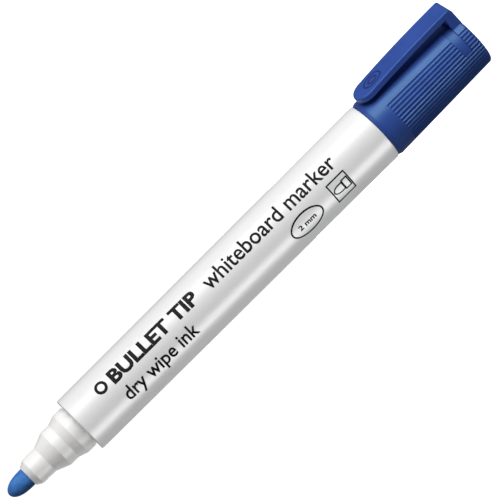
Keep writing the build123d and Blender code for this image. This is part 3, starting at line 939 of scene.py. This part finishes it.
def makeSigns():
    work = bmesh.new()
    oval, ring, box, tip, holder = (signs[name] for name in ("oval", "ring", "frame", "tip", "holder"))
    flatBand(work, ovalLoop(oval["x"], oval["y"], oval["halfLong"], oval["halfWide"]),
             ovalLoop(oval["x"], oval["y"], oval["halfLong"] - oval["line"], oval["halfWide"] - oval["line"]))
    flatBand(work, ovalLoop(ring["x"], ring["y"], ring["radius"], ring["radius"]),
             ovalLoop(ring["x"], ring["y"], ring["radius"] - ring["line"], ring["radius"] - ring["line"]))
    x, y, half = box["x"], box["y"], box["half"]
    corners = (x - half, y - half, x + half, y + half)
    flatBand(work, rectLoop(*corners), rectLoop(*corners, box["line"]))
    flatBand(work, bulletLoop(x, y, tip), bulletLoop(x, y, tip, tip["line"]))
    corners = (x + holder["front"], y - holder["half"], x + holder["back"], y + holder["half"])
    flatBand(work, rectLoop(*corners), rectLoop(*corners, holder["line"]))
    wrapped(work)
    mesh = bpy.data.meshes.new("printMarks")
    work.to_mesh(mesh)
    work.free()
    return finished(putInScene("printMarks", mesh), printInk, "body", "barrel_plastic")


makeWords()
makeSigns()
print("print laid on the barrel")


studio = {
    "floorHalf": 1.6, "floorDrop": 16.0, "floorShade": 0.89, "floorLight": 0.9, "floorRoughness": 0.9,
    "floorGlow": 0.95, "ambient": 0.15, "backdrop": 1.1,
    "key": {"turn": -46, "rise": -10, "far": 0.6, "wide": 0.34, "tall": 0.8, "watts": 4.7},
    "strip": {"turn": 64, "rise": -4, "far": 0.6, "wide": 0.3, "tall": 0.8, "watts": 6.6},
    "rim": {"turn": 112, "rise": 0, "far": 0.6, "wide": 0.4, "tall": 0.8, "watts": 2.6},
    "fill": {"turn": 30, "rise": -6, "far": 0.6, "wide": 0.3, "tall": 0.6, "watts": 1.1},
    "low": {"turn": 88, "rise": -4, "far": 0.6, "wide": 0.3, "tall": 0.6, "watts": 0.7},
    "back": {"turn": 178, "rise": 12, "far": 0.7, "wide": 0.5, "tall": 0.7, "watts": 5.0},
}
view = {
    "azimuth": -55.0, "elevation": 4.9, "distance": 0.824, "lens": 256.0, "aim": 71.75, "roll": 134.85,
    "shiftRight": 0.655, "shiftUp": -0.66,
}


def makeFloor():
    # low enough that the pulled cap clears it
    half, low = studio["floorHalf"], -studio["floorDrop"] * mm
    mesh = bpy.data.meshes.new("paleFloor")
    corners = [(-half, -half, low), (half, -half, low), (half, half, low), (-half, half, low)]
    mesh.from_pydata(corners, [], [(0, 1, 2, 3)])
    floor = putInScene("paleFloor", mesh)
    material, nodes, links, shader = newFinish("paleFloor")
    grain = noiseOn(nodes, links, 40, 2.0)
    shade, light = (studio["floorShade"],) * 3, (studio["floorLight"],) * 3
    links.new(tintBetween(nodes, links, grain.outputs["Fac"], shade, light), shader.inputs["Base Color"])
    shader.inputs["Roughness"].default_value = studio["floorRoughness"]
    shader.inputs["Emission Color"].default_value = (1, 1, 1, 1)
    shader.inputs["Emission Strength"].default_value = studio["floorGlow"]
    mesh.materials.append(material)
    # only the soft boxes give light
    floor.visible_diffuse = floor.visible_glossy = floor.visible_shadow = False


def cameraAxes():
    turn, lift = math.radians(view["azimuth"]), math.radians(view["elevation"])
    back = Vector((math.sin(turn) * math.cos(lift), -math.cos(turn) * math.cos(lift), math.sin(lift)))
    right = Vector((math.cos(turn), math.sin(turn), 0))
    return right, back.cross(right), back


def softBox(name, look, seenByDiffuse=True, seenByGloss=True):
    # turn is measured round the marker from the camera's side, towards the clip when negative
    around = math.radians(view["azimuth"] - look["turn"])
    rise = math.radians(look["rise"])
    away = Vector((math.sin(around) * math.cos(rise), -math.cos(around) * math.cos(rise), math.sin(rise)))
    light = bpy.data.lights.new(name, "AREA")
    light.shape, light.energy = "RECTANGLE", look["watts"]
    light.size, light.size_y = look["wide"], look["tall"]
    lamp = bpy.data.objects.new(name, light)
    scene.collection.objects.link(lamp)
    lamp.location = away * look["far"] + Vector((0, 0, view["aim"] * mm))
    lamp.rotation_euler = away.to_track_quat("Z", "Y").to_euler()
    lamp.visible_diffuse, lamp.visible_glossy, lamp.visible_camera = seenByDiffuse, seenByGloss, False
    return lamp


def makeWorld():
    world = bpy.data.worlds.new("whiteStudio")
    scene.world = world
    world.use_nodes = True
    nodes, links = world.node_tree.nodes, world.node_tree.links
    ambient = nodes["Background"]
    ambient.inputs["Color"].default_value = (1, 1, 1, 1)
    ambient.inputs["Strength"].default_value = studio["ambient"]
    seen = nodes.new("ShaderNodeBackground")
    seen.inputs["Color"].default_value = (1, 1, 1, 1)
    seen.inputs["Strength"].default_value = studio["backdrop"]
    path, mix = nodes.new("ShaderNodeLightPath"), nodes.new("ShaderNodeMixShader")
    links.new(path.outputs["Is Camera Ray"], mix.inputs["Fac"])
    links.new(ambient.outputs[0], mix.inputs[1])
    links.new(seen.outputs[0], mix.inputs[2])
    links.new(mix.outputs[0], nodes["World Output"].inputs["Surface"])


def makeCamera():
    right, up, back = cameraAxes()
    roll = math.radians(view["roll"])
    camX = right * math.cos(roll) - up * math.sin(roll)
    camY = right * math.sin(roll) + up * math.cos(roll)
    lens = bpy.data.cameras.new("camera")
    lens.lens, lens.sensor_width, lens.clip_start = view["lens"], 36, 0.01
    camera = bpy.data.objects.new("camera", lens)
    scene.collection.objects.link(camera)
    aim = Vector((0, 0, view["aim"] * mm)) - camX * view["shiftRight"] * mm - camY * view["shiftUp"] * mm
    turned = Matrix((camX, camY, back)).transposed().to_4x4()
    turned.translation = aim + back * view["distance"]
    camera.matrix_world = turned
    scene.camera = camera


def lightOnly(label, lamps, pieces):
    receivers = bpy.data.collections.new(label)
    for name in pieces:
        receivers.objects.link(bpy.data.objects[name])
    for lamp in lamps:
        lamp.light_linking.receiver_collection = receivers


def makeLights():
    softBox("keyBox", studio["key"])
    softBox("backBox", studio["back"], seenByGloss=False)  # keeps the far side from going dark
    fillBox = softBox("fillBox", studio["fill"], seenByGloss=False)
    lowBox = softBox("lowBox", studio["low"], seenByGloss=False)
    stripBox = softBox("stripBox", studio["strip"], seenByDiffuse=False)  # only its reflection shows
    rimBox = softBox("rimBox", studio["rim"], seenByGloss=False)
    # the strip and rim would wash out the blue; the others lift what the key leaves too dark
    lightOnly("whitePlastic", (stripBox, rimBox), ("barrelTube", "nosePiece"))
    lightOnly("clipPlastic", (fillBox,), ("pocketClip",))
    lightOnly("capPlastic", (lowBox,), ("capShell", "lockLug"))


makeFloor()
makeLights()
makeWorld()
makeCamera()
scene.view_settings.view_transform = "Standard"
print("floor, light and camera ready")
